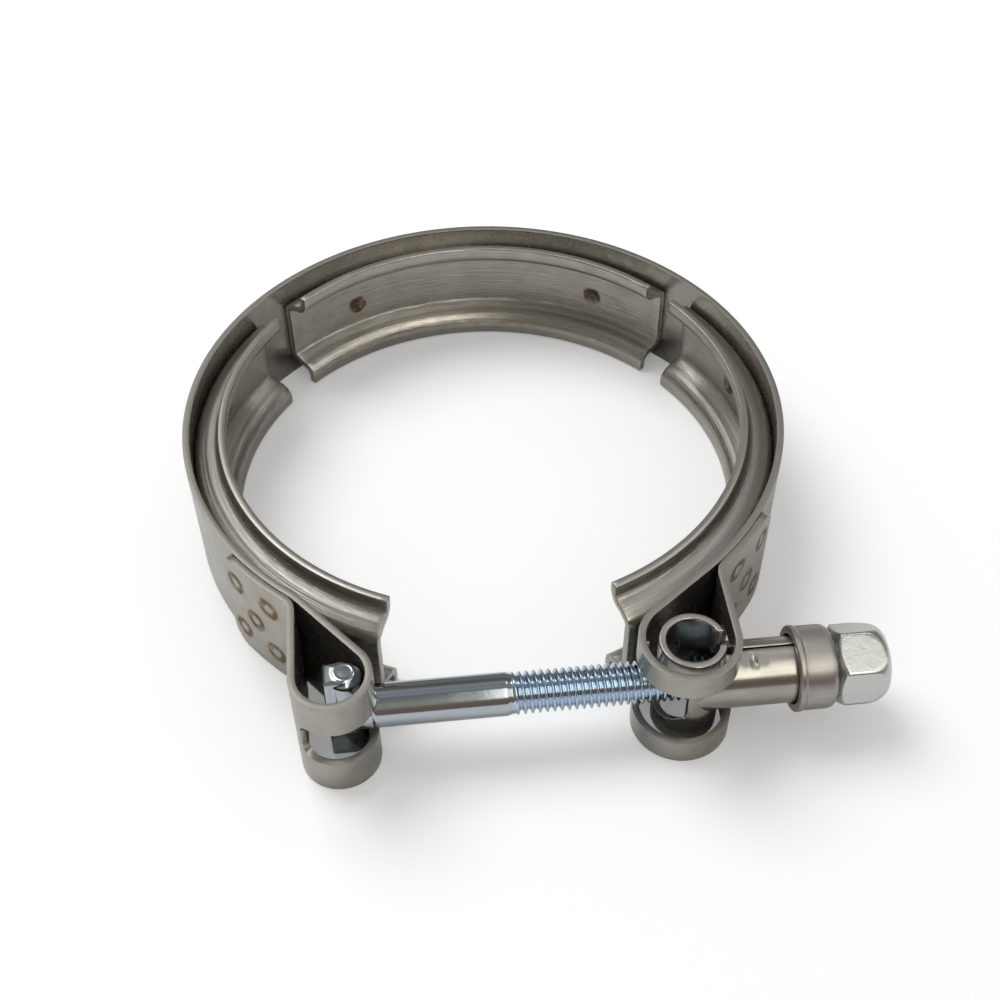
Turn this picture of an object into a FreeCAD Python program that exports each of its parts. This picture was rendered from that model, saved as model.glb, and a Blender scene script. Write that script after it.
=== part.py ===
"""V-band pipe clamp: a strap with two end loops, three V inserts, and a T-bolt latch.

Origin at the centre of the ring, half way up the strap. Z is the axis of the pipe,
+X runs along the bolt from its head to its nut, and the latch is at -Y.
"""
import FreeCAD
import Part

import math
import os

from FreeCAD import Vector

# Strap, millimetres and degrees
strap_outer_radius = 45.6
strap_thickness = 1.0
strap_width = 18.8
tab_layer_gap = 0.1
tab_corner_radius = 3.0
left_tab_end_angle = -147.2
right_tab_end_angle = -33.0
return_bend_inner_radius = 2.5
strap_kink_radius = 12.0

# Loops: how far each stands off to its side and in front of the ring, and its play
left_loop_x = -24.48
left_loop_stand_off = 2.55
left_loop_play = 2.2
right_loop_x = 22.95
right_loop_play = 1.325

# Slots in the loops, angles seen from above about each loop's own centre
left_slot_angles = (212.0, 430.0)
right_slot_angles = (138.0, 402.0)
bolt_slot_clearance = 0.45
stem_slot_clearance = 0.78
slot_corner_radius = 2.0
slot_cut_margin = 1.5
slot_cut_reach = 3.0

# Spot welds of the tabs, in a quincunx, and the marks that the electrodes leave
weld_rows_from_tab_end = (3.5, 12.2)
weld_row_from_edge = 4.4
tab_middle_weld_height = -0.4
weld_nugget_diameter = 2.2
weld_mark_diameter = 3.4
weld_core_diameter = 1.7
weld_mark_depth = 0.12

# V inserts
insert_sheet = 1.2
insert_seat_gap = 0.02
groove_depth = 4.18
groove_half_height = 4.9
flange_angle = 18.0
lip_end_from_strap_edge = 0.2
web_bend_inner_radius = 0.6
lip_bend_inner_radius = 0.5
back_insert_angles = (40.5, 133.5)
left_insert_angles = (142.0, 245.8)
right_insert_angles = (-69.0, 33.5)
insert_weld_from_end = 18.0
insert_weld_diameter = 2.3
insert_weld_height = -1.0
insert_weld_depth = 0.25

# T-bolt, its head seated against the left loop
head_radius = 2.35
head_from_strap_edge = 1.2
head_end_radius = 1.65
head_end_chamfer = 0.7
head_flash_width = 0.8
head_flash_height = 0.25
head_blend_offset = 0.8
head_seat_gap = 0.19
head_seat_angle = 33.2
shank_diameter = 6.0
thread_start_from_head = 22.14
thread_run_out = 0.96
thread_major_diameter = 5.9
thread_step_depth = 0.25
bolt_end_chamfer = 0.7
bolt_end_recess = 0.9

# Trunnion: upright eye and stem from one rolled sheet
trunnion_outer_diameter = 9.15
trunnion_sheet = 1.0
eye_from_loop_x = 0.5
eye_from_loop_y = 0.3
eye_from_strap_edge = 0.9
entry_from_eye_front = 0.075
entry_half_height = 4.9
entry_corner_radius = 3.0
eye_opening_half_width = 1.05
eye_opening_into_stem = 0.35
stem_seam_angle = 100.0
stem_seam_gap = 0.25
stem_seam_over_stem = 0.15
stem_root_flare_length = 3.2
stem_root_flare_half_width = 0.8
seam_start_from_eye = 2.4
stem_seat_gap = 0.02

# Thrust cup, over the stem's end
cup_stem_clearance = 0.325
cup_wall = 0.9
cup_length = 5.5
cup_floor = 1.0
cup_shoulder_radius = 1.4
cup_bead_radius = 0.35
cup_bead_height = 0.15
cup_start_from_eye = 14.15
cup_bolt_clearance = 0.2

# Lock nut with its ring
nut_across_flats = 10.0
nut_seat_gap = 0.05
nut_hex_length = 5.9
nut_dome_length = 1.6
nut_dome_bulge = 0.05
nut_facet_angle = 69.0
nut_chamfer_angle = 30.0
nut_seat_from_flats = 0.5
nut_turning_margin = 0.15
nut_thread_clearance = 0.04
nut_collar_lip = 0.5
nut_collar_lip_from_bolt = 0.4
nut_end_wall = 0.55
lock_ring_length = 1.7
lock_ring_wall = 0.91
lock_ring_seat_clearance = 0.02

# Two ends of a path that are nearer than this are one point
same_point = 1e-4

# Values that follow from the sizes above
strap_mid_radius = strap_outer_radius - strap_thickness / 2
strap_inner_radius = strap_outer_radius - strap_thickness
tab_mid_radius = strap_outer_radius + tab_layer_gap + strap_thickness / 2
tab_outer_radius = tab_mid_radius + strap_thickness / 2
return_bend_mid_radius = return_bend_inner_radius + strap_thickness / 2
left_loop_y = -(strap_outer_radius + left_loop_stand_off)
left_loop_inner_radius = head_radius + left_loop_play
head_offset = left_loop_play - head_seat_gap
head_x = left_loop_x + head_offset * math.cos(math.radians(head_seat_angle))
bolt_axis_y = left_loop_y + head_offset * math.sin(math.radians(head_seat_angle))
head_half_height = strap_width / 2 - head_from_strap_edge
thread_start_x = head_x + thread_start_from_head
trunnion_outer_radius = trunnion_outer_diameter / 2
trunnion_bore_radius = trunnion_outer_radius - trunnion_sheet
right_loop_y = bolt_axis_y - eye_from_loop_y
right_loop_inner_radius = trunnion_outer_radius + right_loop_play
eye_x = right_loop_x + eye_from_loop_x
eye_half_height = strap_width / 2 - eye_from_strap_edge
weld_row_height = strap_width / 2 - weld_row_from_edge
insert_outer_radius = strap_inner_radius - insert_seat_gap
web_inner_radius = insert_outer_radius - insert_sheet
lip_inner_radius = web_inner_radius - groove_depth
lip_half_height = strap_width / 2 - lip_end_from_strap_edge
cup_inner_radius = trunnion_outer_radius + cup_stem_clearance
cup_outer_radius = cup_inner_radius + cup_wall
cup_start_x = eye_x + cup_start_from_eye
cup_end_x = cup_start_x + cup_length
nut_start_x = cup_end_x + nut_seat_gap
nut_hex_end_x = nut_start_x + nut_hex_length
nut_end_x = nut_hex_end_x + nut_dome_length
bolt_end_x = nut_end_x - bolt_end_recess
thread_radius = thread_major_diameter / 2
nut_bore_radius = thread_radius + nut_thread_clearance
lock_ring_outer_radius = nut_bore_radius + lock_ring_wall
lock_ring_start_x = nut_end_x - nut_collar_lip - lock_ring_length - lock_ring_seat_clearance
bolt_slot_half_height = shank_diameter / 2 + bolt_slot_clearance
stem_slot_half_height = trunnion_outer_radius + stem_slot_clearance

UP = Vector(0, 0, 1)
ALONG_BOLT = Vector(1, 0, 0)
RING_CENTRE = Vector(0, 0, 0)


def polar(centre, radius, degrees):
    """Point at a radius and an angle about a centre, in the XY plane."""
    turn = math.radians(degrees)
    return centre + Vector(radius * math.cos(turn), radius * math.sin(turn), 0)


def tangent_direction(first, second):
    """Direction, in degrees, of the line that leaves one bend and meets the next.

    A bend is (centre, signed radius), positive where the path turns left round it.
    """
    across = second[0] - first[0]
    lean = (second[1] - first[1]) / across.Length
    lean = max(-1.0, min(1.0, lean))
    return math.degrees(math.atan2(across.y, across.x)) - math.degrees(math.asin(lean))


def path_edges(bends, first_direction, last_direction, shift):
    """Edges of a path round the bends, moved sideways to its left by shift."""
    directions = [first_direction]
    for first, second in zip(bends, bends[1:]):
        directions.append(tangent_direction(first, second))
    directions.append(last_direction)
    edges = []
    last_point = None
    for (centre, signed_radius), arrive, leave in zip(bends, directions, directions[1:]):
        moved_radius = signed_radius - shift
        side = math.copysign(1.0, signed_radius)
        turn = round((leave - arrive) * side, 6) % 360.0 * side
        start = polar(centre, moved_radius, arrive - 90)
        if last_point is None:
            first_point = start
        elif last_point.distanceToPoint(start) > same_point:
            edges.append(Part.LineSegment(last_point, start).toShape())
        else:
            start = last_point
        last_point = start
        if turn:
            middle = polar(centre, moved_radius, arrive + turn / 2 - 90)
            last_point = polar(centre, moved_radius, arrive + turn - 90)
            edges.append(Part.Arc(start, middle, last_point).toShape())
    return edges, first_point, last_point


def sheet_outline(bends, first_direction, last_direction, thickness):
    """Face of a bent sheet's section: the path moved half a thickness to each side."""
    left, left_start, left_end = path_edges(bends, first_direction, last_direction, thickness / 2)
    right, right_start, right_end = path_edges(bends, first_direction, last_direction, -thickness / 2)
    caps = [
        Part.LineSegment(left_start, right_start).toShape(),
        Part.LineSegment(left_end, right_end).toShape(),
    ]
    return Part.Face(Part.Wire(left + caps[1:] + right[::-1] + caps[:1]))


def straight_end(x, y):
    """End of a path as a bend of no radius, which the path only passes through."""
    return (Vector(x, y, 0), 0.0)


def ring_sector(centre, inner_radius, outer_radius, angles, half_height, corner_radius):
    """Upright sector of a ring, with its four radial edges rounded unless corner_radius is 0."""
    start_angle, end_angle = angles
    corners = [
        centre + Vector(inner_radius, 0, -half_height),
        centre + Vector(outer_radius, 0, -half_height),
        centre + Vector(outer_radius, 0, half_height),
        centre + Vector(inner_radius, 0, half_height),
    ]
    section = Part.Face(Part.makePolygon(corners + corners[:1]))
    section.rotate(centre, UP, start_angle)
    sector = section.revolve(centre, UP, end_angle - start_angle)
    if corner_radius == 0:
        return sector
    radial_edges = [
        edge for edge in sector.Edges
        if isinstance(edge.Curve, Part.Line)
        and abs(edge.Length - (outer_radius - inner_radius)) < 1e-6
        and abs(edge.tangentAt(edge.FirstParameter).z) < 1e-6
    ]
    return sector.makeFillet(corner_radius, radial_edges)


def radial_cylinder(diameter, inner_radius, outer_radius, angle, height):
    """Cylinder whose axis points out from the ring's axis at one angle and height."""
    foot = polar(RING_CENTRE, inner_radius, angle) + Vector(0, 0, height)
    outward = polar(RING_CENTRE, 1.0, angle)
    return Part.makeCylinder(diameter / 2, outer_radius - inner_radius, foot, outward)


def loop_bends(side, loop_x, loop_y, loop_inner_radius):
    """The strap's bends round one loop, from the tab to the ring: side is -1 left, 1 right.

    The strap stays on the ring under the tab, so where its straight run to the loop would
    leave the ring earlier, it gets a slight kink at the tab's return bend.
    """
    loop_mid_radius = loop_inner_radius + strap_thickness / 2
    bend_x = loop_x + side * (loop_mid_radius + return_bend_mid_radius)
    bend_y = -math.sqrt((tab_mid_radius + return_bend_mid_radius) ** 2 - bend_x ** 2)
    leave_angle = math.degrees(math.atan2(bend_y, bend_x))
    bends = [
        (RING_CENTRE, tab_mid_radius),
        (Vector(bend_x, bend_y, 0), -return_bend_mid_radius),
        (Vector(loop_x, loop_y, 0), loop_mid_radius),
    ]
    reach = min(1.0, (strap_mid_radius + loop_mid_radius) / math.hypot(loop_x, loop_y))
    loop_angle = math.degrees(math.atan2(loop_y, loop_x))
    tangent_leave_angle = loop_angle + side * math.degrees(math.acos(reach))
    if side * tangent_leave_angle > side * leave_angle:
        kink_centre = polar(RING_CENTRE, strap_mid_radius + strap_kink_radius, leave_angle)
        bends.append((kink_centre, strap_kink_radius))
    return bends


def tab_welds(end_angle, tab_side):
    """Angle and height of the five spot welds of a tab: two rows and one in the middle.

    tab_side is 1 where the tab's angles grow from its end, and -1 on the other side.
    """
    row_angles = [end_angle + tab_side * degrees for degrees in weld_rows_from_tab_end]
    middle_angle = sum(row_angles) / 2
    welds = [(middle_angle, tab_middle_weld_height)]
    for row_angle in row_angles:
        welds.append((row_angle, weld_row_height))
        welds.append((row_angle, -weld_row_height))
    return welds


def insert_weld_angles():
    """Angles of the spot welds that hold the inserts, apart from those under the tabs."""
    back_start, back_end = back_insert_angles
    return {
        "back_insert": [back_start + insert_weld_from_end, back_end - insert_weld_from_end],
        "left_insert": [left_insert_angles[0] + insert_weld_from_end],
        "right_insert": [right_insert_angles[1] - insert_weld_from_end],
    }


def weld_mark(surface_radius, angle, height):
    """Shallow round groove that the welding electrode leaves in an outer face."""
    bottom = surface_radius - weld_mark_depth
    outside = surface_radius + weld_mark_depth
    disc = radial_cylinder(weld_mark_diameter, bottom, outside, angle, height)
    core = radial_cylinder(weld_core_diameter, bottom, outside, angle, height)
    return disc.cut(core)


def tab_corner_waste(end_angle, tab_side):
    """What is trimmed off a tab's end to round its corners: tab_side is 1 or -1 from the end."""
    gap_radius = strap_outer_radius + tab_layer_gap / 2
    corner_degrees = math.degrees(tab_corner_radius / gap_radius)
    beyond = end_angle - tab_side * corner_degrees
    covered = end_angle + tab_side * corner_degrees
    kept = end_angle + 3 * tab_side * corner_degrees
    block = ring_sector(
        RING_CENTRE,
        gap_radius,
        tab_outer_radius + tab_layer_gap,
        (min(beyond, covered), max(beyond, covered)),
        strap_width / 2 + tab_layer_gap,
        0,
    )
    rounded_tab = ring_sector(
        RING_CENTRE,
        gap_radius - tab_layer_gap,
        tab_outer_radius + 2 * tab_layer_gap,
        (min(end_angle, kept), max(end_angle, kept)),
        strap_width / 2,
        tab_corner_radius,
    )
    return block.cut(rounded_tab)


def make_band_strap():
    """One strip: ring, a loop at each end, and the loops' tabs welded back on the ring."""
    left_bends = loop_bends(-1, left_loop_x, left_loop_y, left_loop_inner_radius)
    right_bends = loop_bends(1, right_loop_x, right_loop_y, right_loop_inner_radius)
    bends = left_bends + [(RING_CENTRE, -strap_mid_radius)] + right_bends[::-1]
    outline = sheet_outline(
        bends, left_tab_end_angle + 90, right_tab_end_angle + 90, strap_thickness
    )
    outline.translate(Vector(0, 0, -strap_width / 2))
    strap = outline.extrude(Vector(0, 0, strap_width))
    waste = [tab_corner_waste(left_tab_end_angle, 1), tab_corner_waste(right_tab_end_angle, -1)]
    slots = [
        ring_sector(
            Vector(left_loop_x, left_loop_y, 0),
            left_loop_inner_radius - slot_cut_margin,
            left_loop_inner_radius + strap_thickness + slot_cut_reach,
            left_slot_angles,
            bolt_slot_half_height,
            slot_corner_radius,
        ),
        ring_sector(
            Vector(right_loop_x, right_loop_y, 0),
            right_loop_inner_radius - slot_cut_margin,
            right_loop_inner_radius + strap_thickness + slot_cut_reach,
            right_slot_angles,
            stem_slot_half_height,
            slot_corner_radius,
        ),
    ]
    nuggets = []
    marks = []
    welds = tab_welds(left_tab_end_angle, 1) + tab_welds(right_tab_end_angle, -1)
    for angle, height in welds:
        nuggets.append(
            radial_cylinder(weld_nugget_diameter, strap_mid_radius, tab_mid_radius, angle, height)
        )
        marks.append(weld_mark(tab_outer_radius, angle, height))
    for angles in insert_weld_angles().values():
        for angle in angles:
            marks.append(weld_mark(strap_outer_radius, angle, insert_weld_height))
    return strap.fuse(nuggets).cut(slots + waste + marks)


def insert_section():
    """Section of the V inserts, radius along X and height along Z, on the side of +X."""
    web_mid = insert_outer_radius - insert_sheet / 2
    lip_mid = lip_inner_radius + insert_sheet / 2
    lean = math.radians(flange_angle)
    web_bend_x = web_inner_radius - web_bend_inner_radius
    web_bend_y = (
        groove_half_height
        + web_bend_inner_radius * math.tan(lean)
        - web_bend_inner_radius / math.cos(lean)
    )
    lip_bend_outer_radius = lip_bend_inner_radius + insert_sheet
    lip_bend_x = lip_inner_radius + lip_bend_outer_radius
    lip_bend_y = (
        groove_half_height
        + (web_inner_radius - lip_bend_x) * math.tan(lean)
        + lip_bend_outer_radius / math.cos(lean)
    )
    web_bend = web_mid - web_bend_x
    lip_bend = lip_bend_x - lip_mid
    bends = [
        straight_end(lip_mid, -lip_half_height),
        (Vector(lip_bend_x, -lip_bend_y, 0), -lip_bend),
        (Vector(web_bend_x, -web_bend_y, 0), web_bend),
        (Vector(web_bend_x, web_bend_y, 0), web_bend),
        (Vector(lip_bend_x, lip_bend_y, 0), -lip_bend),
        straight_end(lip_mid, lip_half_height),
    ]
    section = sheet_outline(bends, 90, 90, insert_sheet)
    section.rotate(RING_CENTRE, ALONG_BOLT, 90)
    return section


def make_insert(name, angles):
    """One V insert: its section swept round the ring's axis, with its weld dimples."""
    start_angle, end_angle = angles
    section = insert_section()
    section.rotate(RING_CENTRE, UP, start_angle)
    insert = section.revolve(RING_CENTRE, UP, end_angle - start_angle)
    dimples = [
        radial_cylinder(
            insert_weld_diameter,
            web_inner_radius - insert_sheet / 2,
            web_inner_radius + insert_weld_depth,
            angle,
            insert_weld_height,
        )
        for angle in insert_weld_angles()[name]
    ]
    return insert.cut(dimples)


def turned(profile, axis_point):
    """Solid turned about the bolt's direction from (x, radius) points and arcs.

    A profile item is a point, or (middle, end) for an arc that goes on from the last point.
    """
    edges = []
    last = Vector(profile[0][0], profile[0][1], 0)
    for item in profile[1:]:
        if isinstance(item[0], tuple):
            middle = Vector(item[0][0], item[0][1], 0)
            end = Vector(item[1][0], item[1][1], 0)
            edges.append(Part.Arc(last, middle, end).toShape())
        else:
            end = Vector(item[0], item[1], 0)
            edges.append(Part.LineSegment(last, end).toShape())
        last = end
    first = Vector(profile[0][0], profile[0][1], 0)
    edges.append(Part.LineSegment(last, first).toShape())
    face = Part.Face(Part.Wire(edges))
    solid = face.revolve(RING_CENTRE, ALONG_BOLT, 360)
    solid.translate(axis_point)
    return solid


def quarter_arc(centre_x, centre_radius, radius, start_angle, end_angle):
    """Middle and end of a profile arc about a centre, for use in turned()."""
    points = []
    for angle in ((start_angle + end_angle) / 2, end_angle):
        turn = math.radians(angle)
        points.append((centre_x + radius * math.cos(turn), centre_radius + radius * math.sin(turn)))
    return tuple(points)


BOLT_AXIS = Vector(0, bolt_axis_y, 0)


def make_t_bolt():
    """T-bolt: an upright round head bar, a shank with a domed root, and the threaded end."""
    shank_radius = shank_diameter / 2
    dome_x = head_x + head_blend_offset
    stem = turned(
        [
            (dome_x - shank_radius, 0),
            quarter_arc(dome_x, 0, shank_radius, 180, 90),
            (thread_start_x - thread_run_out, shank_radius),
            (thread_start_x, thread_radius - thread_step_depth),
            (thread_start_x + thread_step_depth, thread_radius),
            (bolt_end_x - bolt_end_chamfer, thread_radius),
            (bolt_end_x, thread_radius - bolt_end_chamfer),
            (bolt_end_x, 0),
        ],
        BOLT_AXIS,
    )
    head_centre = BOLT_AXIS + Vector(head_x, 0, 0)
    bar_half_height = head_half_height - head_end_chamfer
    bar = Part.makeCylinder(
        head_radius, 2 * bar_half_height, head_centre - UP * bar_half_height, UP
    )
    ends = [
        Part.makeCone(
            head_radius, head_end_radius, head_end_chamfer,
            head_centre + UP * (side * bar_half_height), UP * side,
        )
        for side in (-1, 1)
    ]
    flash = Part.makeBox(
        head_radius + head_flash_height,
        head_flash_width,
        2 * bar_half_height,
        head_centre - Vector(head_radius + head_flash_height, head_flash_width / 2, bar_half_height),
    )
    return bar.fuse(ends + [flash, stem]).removeSplitter()


def stem_seam(side):
    """Slit along the stem's top (side 1) or bottom (side -1), wider at its root."""
    root_x = eye_x + trunnion_outer_radius
    flare_end_x = root_x + stem_root_flare_length
    half_gap = stem_seam_gap / 2
    corners = [
        Vector(eye_x + seam_start_from_eye, -stem_root_flare_half_width, 0),
        Vector(root_x, -stem_root_flare_half_width, 0),
        Vector(flare_end_x, -half_gap, 0),
        Vector(cup_end_x, -half_gap, 0),
        Vector(cup_end_x, half_gap, 0),
        Vector(flare_end_x, half_gap, 0),
        Vector(root_x, stem_root_flare_half_width, 0),
        Vector(eye_x + seam_start_from_eye, stem_root_flare_half_width, 0),
    ]
    slit = Part.Face(Part.makePolygon(corners + corners[:1])).extrude(
        UP * (trunnion_outer_radius + stem_seam_over_stem)
    )
    lean = stem_seam_angle - 90
    slit.rotate(RING_CENTRE, ALONG_BOLT, -lean)
    if side < 0:
        slit = slit.mirror(RING_CENTRE, UP)
    slit.translate(BOLT_AXIS)
    return slit


def eye_opening(side):
    """Gap between the eye's two curled ends, above the stem (side 1) or below it (side -1)."""
    start = trunnion_outer_radius - eye_opening_into_stem
    opening = Part.makeBox(
        trunnion_outer_radius - seam_start_from_eye,
        2 * eye_opening_half_width,
        eye_half_height - start,
        Vector(eye_x + seam_start_from_eye, -eye_opening_half_width, start),
    )
    if side < 0:
        opening = opening.mirror(RING_CENTRE, UP)
    opening.translate(BOLT_AXIS)
    return opening


def bolt_entry(eye_centre):
    """Round-cornered opening in the eye's wall, on the side where the bolt comes in."""
    entry_half_width = trunnion_outer_radius - entry_from_eye_front
    reach = math.sqrt(trunnion_outer_radius ** 2 - entry_half_width ** 2)
    corner = eye_centre - Vector(2 * trunnion_outer_radius, entry_half_width, entry_half_height)
    block = Part.makeBox(
        2 * trunnion_outer_radius - reach, 2 * entry_half_width, 2 * entry_half_height, corner
    )
    long_edges = [edge for edge in block.Edges if abs(edge.tangentAt(0).x) > 0.5]
    return block.makeFillet(entry_corner_radius, long_edges)


def make_trunnion():
    """Rolled sheet: an upright open eye, and a stem tube that the bolt runs through."""
    eye_centre = BOLT_AXIS + Vector(eye_x, 0, 0)
    stem_end_x = cup_end_x - cup_floor - stem_seat_gap
    eye_foot = eye_centre - UP * eye_half_height
    eye = Part.makeCylinder(trunnion_outer_radius, 2 * eye_half_height, eye_foot, UP)
    eye_bore = Part.makeCylinder(trunnion_bore_radius, 2 * eye_half_height, eye_foot, UP)
    stem_length = stem_end_x - eye_x
    stem = Part.makeCylinder(trunnion_outer_radius, stem_length, eye_centre, ALONG_BOLT)
    stem_bore = Part.makeCylinder(trunnion_bore_radius, stem_length, eye_centre, ALONG_BOLT)
    cut = [eye_bore, stem_bore, bolt_entry(eye_centre)]
    for side in (1, -1):
        cut += [stem_seam(side), eye_opening(side)]
    return eye.fuse(stem).cut(cut)


def make_thrust_cup():
    """Pressed cup over the stem's end: beaded rim, rounded shoulder, and a hole for the bolt."""
    outer = cup_outer_radius
    hole = shank_diameter / 2 + cup_bolt_clearance
    bead_outer = outer + cup_bead_height
    bead_end_x = cup_start_x + 2 * cup_bead_radius
    shoulder_x = cup_end_x - cup_shoulder_radius
    return turned(
        [
            (cup_start_x, cup_inner_radius),
            (cup_start_x, bead_outer - cup_bead_radius),
            quarter_arc(
                cup_start_x + cup_bead_radius, bead_outer - cup_bead_radius,
                cup_bead_radius, 180, 90,
            ),
            (bead_end_x, outer),
            (shoulder_x, outer),
            quarter_arc(shoulder_x, outer - cup_shoulder_radius, cup_shoulder_radius, 90, 0),
            (cup_end_x, hole),
            (cup_end_x - cup_floor, hole),
            (cup_end_x - cup_floor, cup_inner_radius),
        ],
        BOLT_AXIS,
    )


def make_lock_nut():
    """Hexagon nut with a chamfered seat, a domed collar, and a seat for the nylon ring."""
    corner_radius = nut_across_flats / 2 / math.cos(math.pi / 6)
    turning_radius = corner_radius + nut_turning_margin
    seat_radius = nut_across_flats / 2 - nut_seat_from_flats
    chamfer_length = (turning_radius - seat_radius) * math.tan(math.radians(nut_chamfer_angle))
    ring_seat_radius = lock_ring_outer_radius + lock_ring_seat_clearance
    ring_seat_start_x = lock_ring_start_x - lock_ring_seat_clearance
    lip_x = nut_end_x - nut_collar_lip
    lip_radius = nut_bore_radius + nut_collar_lip_from_bolt
    end_radius = lip_radius + nut_end_wall
    body = turned(
        [
            (nut_start_x, nut_bore_radius),
            (nut_start_x, seat_radius),
            (nut_start_x + chamfer_length, turning_radius),
            (nut_hex_end_x - nut_dome_length / 2, turning_radius),
            ((nut_hex_end_x + nut_dome_bulge, nut_across_flats / 2), (nut_end_x, end_radius)),
            (nut_end_x, lip_radius),
            (lip_x, lip_radius),
            (lip_x, ring_seat_radius),
            (ring_seat_start_x, ring_seat_radius),
            (ring_seat_start_x, nut_bore_radius),
        ],
        BOLT_AXIS,
    )
    corners = []
    for index in range(6):
        turn = math.radians(60 * index + 30)
        corners.append(Vector(0, corner_radius * math.cos(turn), corner_radius * math.sin(turn)))
    hexagon = Part.Face(Part.makePolygon(corners + corners[:1]))
    hexagon.rotate(RING_CENTRE, ALONG_BOLT, -nut_facet_angle)
    prism = hexagon.extrude(ALONG_BOLT * (nut_end_x - nut_start_x))
    prism.translate(BOLT_AXIS + Vector(nut_start_x, 0, 0))
    return body.common(prism)


def make_lock_ring():
    """Nylon ring that grips the thread inside the nut's collar."""
    end_x = lock_ring_start_x + lock_ring_length
    return turned(
        [
            (lock_ring_start_x, nut_bore_radius),
            (lock_ring_start_x, lock_ring_outer_radius),
            (end_x, lock_ring_outer_radius),
            (end_x, nut_bore_radius),
        ],
        BOLT_AXIS,
    )


def export(name, shape):
    """Write one piece as parts/NAME.step and say how large it is."""
    solid = shape.Solids[0]
    print(name, "solids", len(shape.Solids), "valid", shape.isValid(), "mm3", round(shape.Volume, 1))
    solid.exportStep(os.path.join("parts", name + ".step"))


os.makedirs("parts", exist_ok=True)
export("band_strap", make_band_strap())
export("back_insert", make_insert("back_insert", back_insert_angles))
export("left_insert", make_insert("left_insert", left_insert_angles))
export("right_insert", make_insert("right_insert", right_insert_angles))
export("t_bolt", make_t_bolt())
export("trunnion", make_trunnion())
export("thrust_cup", make_thrust_cup())
export("lock_nut", make_lock_nut())
export("lock_ring", make_lock_ring())
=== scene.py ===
"""Round V-band pipe clamp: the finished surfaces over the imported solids, the floor and the light.

Lengths are worked out in millimetres and put into the meshes in metres. The origin is the
centre of the ring, Z the pipe's axis, and +X runs along the bolt from its head to its nut.
"""

import math

import bmesh
import bpy
import numpy as np
from mathutils import Matrix, Vector


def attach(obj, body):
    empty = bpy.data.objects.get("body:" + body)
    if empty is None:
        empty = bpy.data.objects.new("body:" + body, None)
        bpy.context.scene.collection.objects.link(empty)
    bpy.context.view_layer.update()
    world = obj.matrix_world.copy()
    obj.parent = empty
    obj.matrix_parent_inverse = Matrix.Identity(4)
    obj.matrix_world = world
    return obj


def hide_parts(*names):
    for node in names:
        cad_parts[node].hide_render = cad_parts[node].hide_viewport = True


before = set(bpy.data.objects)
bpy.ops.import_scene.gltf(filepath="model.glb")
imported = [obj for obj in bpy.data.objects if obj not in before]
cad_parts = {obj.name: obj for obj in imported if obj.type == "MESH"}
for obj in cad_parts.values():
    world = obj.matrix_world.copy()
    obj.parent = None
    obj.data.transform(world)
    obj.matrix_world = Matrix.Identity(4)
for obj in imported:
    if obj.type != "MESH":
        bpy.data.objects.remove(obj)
for spare in ("Cube", "Light", "Camera"):
    if spare in bpy.data.objects:
        bpy.data.objects.remove(bpy.data.objects[spare])
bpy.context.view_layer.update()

# Camera: its place and its angle fit the ring, the loops and the bolt of the photograph, a picture
# of 1000 x 1000 pixels. It stands before the latch and looks down on the ring at 47 degrees.
picture_pixels = 1000.0
camera_turn, camera_height, camera_roll = (math.radians(angle) for angle in (-5.53, 47.05, -0.51))
camera_focal_pixels = 1428.24
# From the ring's centre to the camera, along the camera's own axes.
camera_from_ring = Vector((2.53, -8.09, 225.51))


def add_object(name, data):
    """Object of that mesh, camera or lamp in the scene, at the origin, unturned and unscaled."""
    thing = bpy.data.objects.new(name, data)
    bpy.context.collection.objects.link(thing)
    return thing


camera_data = bpy.data.cameras.new("camera")
camera_data.lens = camera_focal_pixels / picture_pixels * camera_data.sensor_width
camera_data.clip_start = 0.01
camera = add_object("camera", camera_data)
camera_axes = (
    Matrix.Rotation(camera_turn, 4, "Z") @ Matrix.Rotation(math.pi / 2 - camera_height, 4, "X")
    @ Matrix.Rotation(camera_roll, 4, "Z")
)
camera.matrix_world = camera_axes @ Matrix.Translation(camera_from_ring * 0.001)
bpy.context.scene.camera = camera

# Strap: one strip of stainless steel, 19 mm wide and 1 mm thick, rolled round the ring. Each end is
# bent into a loop with a slot for the latch, and its tab is laid back on the ring and held there
# by five spot welds.
strap_outer_radius = 45.6
strap_thickness = 1.0
strap_half_width = 9.4
strap_edge_radius = 0.13
strap_mid_radius = strap_outer_radius - strap_thickness / 2
tab_gap = 0.1
tab_mid_radius = strap_outer_radius + tab_gap + strap_thickness / 2
tab_outer_radius = tab_mid_radius + strap_thickness / 2
tab_end_angles = (-147.2, -33.0)
tab_corner_radius = 3.0
return_bend_radius = 3.0
left_loop_centre = np.array([-24.48, -48.15])
right_loop_centre = np.array([22.95, -47.35])
left_loop_mid_radius = 5.05
right_loop_mid_radius = 6.4
kink_radius = 12.0
slot_corner_radius = 2.0
left_slot_angles = (32.0, 30.9)
right_slot_angles = (10.3, 42.0)
left_slot_half_height = 3.45
right_slot_half_height = 5.355
weld_rows_from_tab_end = (3.5, 12.2)
weld_row_height = 5.0
tab_middle_weld_height = -0.4
insert_weld_angles = {
    "back_insert": (58.5, 115.5), "left_insert": (160.0,), "right_insert": (15.5,)
}
insert_weld_height = -1.0
ring_weld_angles = sorted(sum(insert_weld_angles.values(), ()), reverse=True)
weld_mark_radius = 1.95
weld_core_radius = 0.85
weld_mark_depth = 0.13
weld_reach = 2.8
far_from_welds = 50.0
on_face = 0.02
corner_steps = 8
weld_half_zone = 2.2
strap_colour = [0.44, 0.42, 0.375, 1.0]
strap_edge_colour = [0.40, 0.385, 0.35, 1.0]
strap_roughness = 0.27
weld_burnt_colour = [0.10, 0.07, 0.045, 1.0]
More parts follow.
